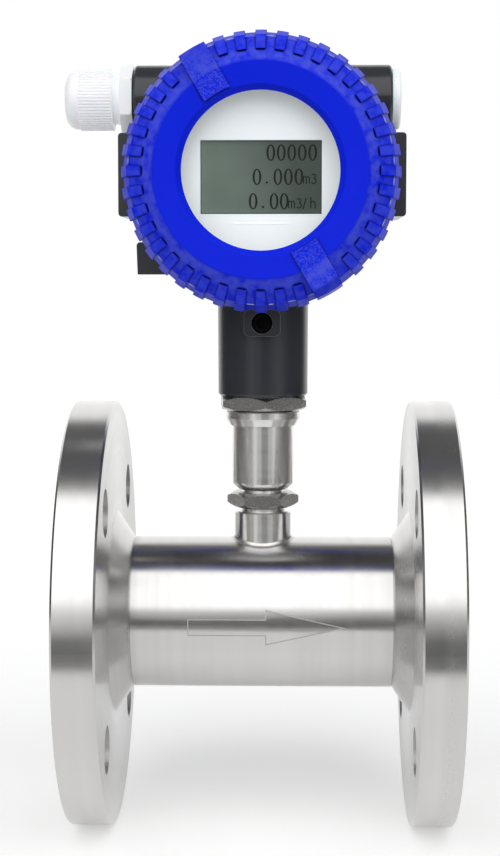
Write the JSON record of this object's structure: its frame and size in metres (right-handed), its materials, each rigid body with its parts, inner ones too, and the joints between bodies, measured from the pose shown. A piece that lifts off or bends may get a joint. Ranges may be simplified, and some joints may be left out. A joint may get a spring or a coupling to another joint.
{
  "type": "liquid turbine flow meter",
  "caption": "Flanged turbine flow meter: a bladed rotor in a short pipe run is sensed by a screwed pickup, and a round display head on a stem shows total and rate.",
  "frame": {"origin": "centre of the inlet flange's raised sealing face, on the pipe's axis", "axes": "+X is the flow direction along the pipe, +Z points from the pipe up to the display head, and the display faces -Y"},
  "size_m": [0.1505, 0.165, 0.3021],
  "materials": {
    "turned_stainless": "turned and brushed",
    "cast_housing_paint": "dark grey powder coat on die-cast alloy",
    "blue_cover_paint": "blue enamel on die-cast alloy",
    "white_nylon": "moulded",
    "white_bezel": "moulded, satin",
    "black_rubber": "moulded",
    "clear_glass": "polished",
    "display_glass": "grey-green liquid crystal",
    "circuit_board": "glass-fibre laminate",
    "tool_steel": "blackened",
    "plated_brass": "turned",
    "copper_winding": "enamelled wire",
    "black_plastic": "moulded",
    "hard_alloy": "ground"
  },
  "bodies": {
    "meter_body": {"inlet_flange": "turned_stainless", "outlet_flange": "turned_stainless", "meter_tube": "turned_stainless", "sensor_boss": "turned_stainless", "boss_weld": "turned_stainless", "inlet_flow_guide": "turned_stainless", "outlet_flow_guide": "turned_stainless", "inlet_retaining_ring": "turned_stainless", "outlet_retaining_ring": "turned_stainless", "inlet_bearing": "hard_alloy", "outlet_bearing": "hard_alloy", "pickup_body": "turned_stainless", "pickup_bobbin": "black_plastic", "pickup_coil": "copper_winding", "pickup_pole_pin": "turned_stainless", "pickup_magnet": "tool_steel", "pickup_potting": "black_plastic", "pickup_cable": "black_plastic", "pickup_lock_nut": "turned_stainless", "stem_gasket": "black_rubber", "head_lock_nut": "turned_stainless", "head_housing": "cast_housing_paint", "neck_set_screw": "tool_steel", "ground_screw": "turned_stainless", "ground_washer": "turned_stainless", "display_bezel": "white_bezel", "lcd_panel": "display_glass", "lcd_backlight": "white_bezel", "display_board": "circuit_board", "display_standoffs": "plated_brass", "display_screws": "turned_stainless", "display_ribbon": "black_plastic", "terminal_board": "circuit_board", "terminal_spacers": "plated_brass", "terminal_board_screws": "turned_stainless", "terminal_block": "black_plastic", "terminal_screws": "turned_stainless", "gland_washer": "black_rubber", "gland_body": "white_nylon"},
    "turbine": {"turbine_rotor": "turned_stainless", "rotor_shaft": "hard_alloy"},
    "front_seal": {"front_cover_o_ring": "black_rubber"},
    "front_cover": {"front_cover": "blue_cover_paint", "window_gasket": "black_rubber", "window_glass": "clear_glass", "window_retaining_ring": "tool_steel"},
    "rear_seal": {"rear_cover_o_ring": "black_rubber"},
    "rear_cover": {"rear_cover": "blue_cover_paint"},
    "gland_clamp": {"gland_claw": "white_nylon", "gland_seal": "black_rubber"},
    "gland_nut": {"gland_nut": "white_nylon"},
    "plug_seal": {"plug_o_ring": "black_rubber"},
    "blind_plug": {"blind_plug": "white_nylon"}
  },
  "joints": [
    {"name": "rotor_spin", "type": "hinge", "parent": "meter_body", "child": "turbine", "pos_m": [0.075, 0, 0], "axis": [1, 0, 0], "continuous": true},
    {"name": "front_cover_travel", "type": "slide", "parent": "meter_body", "child": "front_seal", "axis": [0, -1, 0], "range_m": [0, 0.00801]},
    {"name": "front_cover_turn", "type": "hinge", "parent": "front_seal", "child": "front_cover", "pos_m": [0.075, -0.0355, 0.1687], "axis": [0, -1, 0], "range_deg": [0, 1440]},
    {"name": "rear_cover_travel", "type": "slide", "parent": "meter_body", "child": "rear_seal", "axis": [0, 1, 0], "range_m": [0, 0.00801]},
    {"name": "rear_cover_turn", "type": "hinge", "parent": "rear_seal", "child": "rear_cover", "pos_m": [0.075, 0.0335, 0.1687], "axis": [0, 1, 0], "range_deg": [0, 1440]},
    {"name": "gland_nut_travel", "type": "slide", "parent": "meter_body", "child": "gland_clamp", "axis": [-1, 0, 0], "range_m": [0, 0.00451]},
    {"name": "gland_nut_turn", "type": "hinge", "parent": "gland_clamp", "child": "gland_nut", "pos_m": [0.026, 0, 0.1987], "axis": [-1, 0, 0], "range_deg": [0, 1080]},
    {"name": "blind_plug_travel", "type": "slide", "parent": "meter_body", "child": "plug_seal", "axis": [1, 0, 0], "range_m": [0, 0.00751]},
    {"name": "blind_plug_turn", "type": "hinge", "parent": "plug_seal", "child": "blind_plug", "pos_m": [0.124, 0, 0.1987], "axis": [1, 0, 0], "range_deg": [0, 1800]}
  ],
  "couplings": [
    {"joint": "front_cover_travel", "follows": "front_cover_turn", "m_per_rad": 0.00031831},
    {"joint": "rear_cover_travel", "follows": "rear_cover_turn", "m_per_rad": 0.00031831},
    {"joint": "gland_nut_travel", "follows": "gland_nut_turn", "m_per_rad": 0.00023873},
    {"joint": "blind_plug_travel", "follows": "blind_plug_turn", "m_per_rad": 0.00023873}
  ]
}
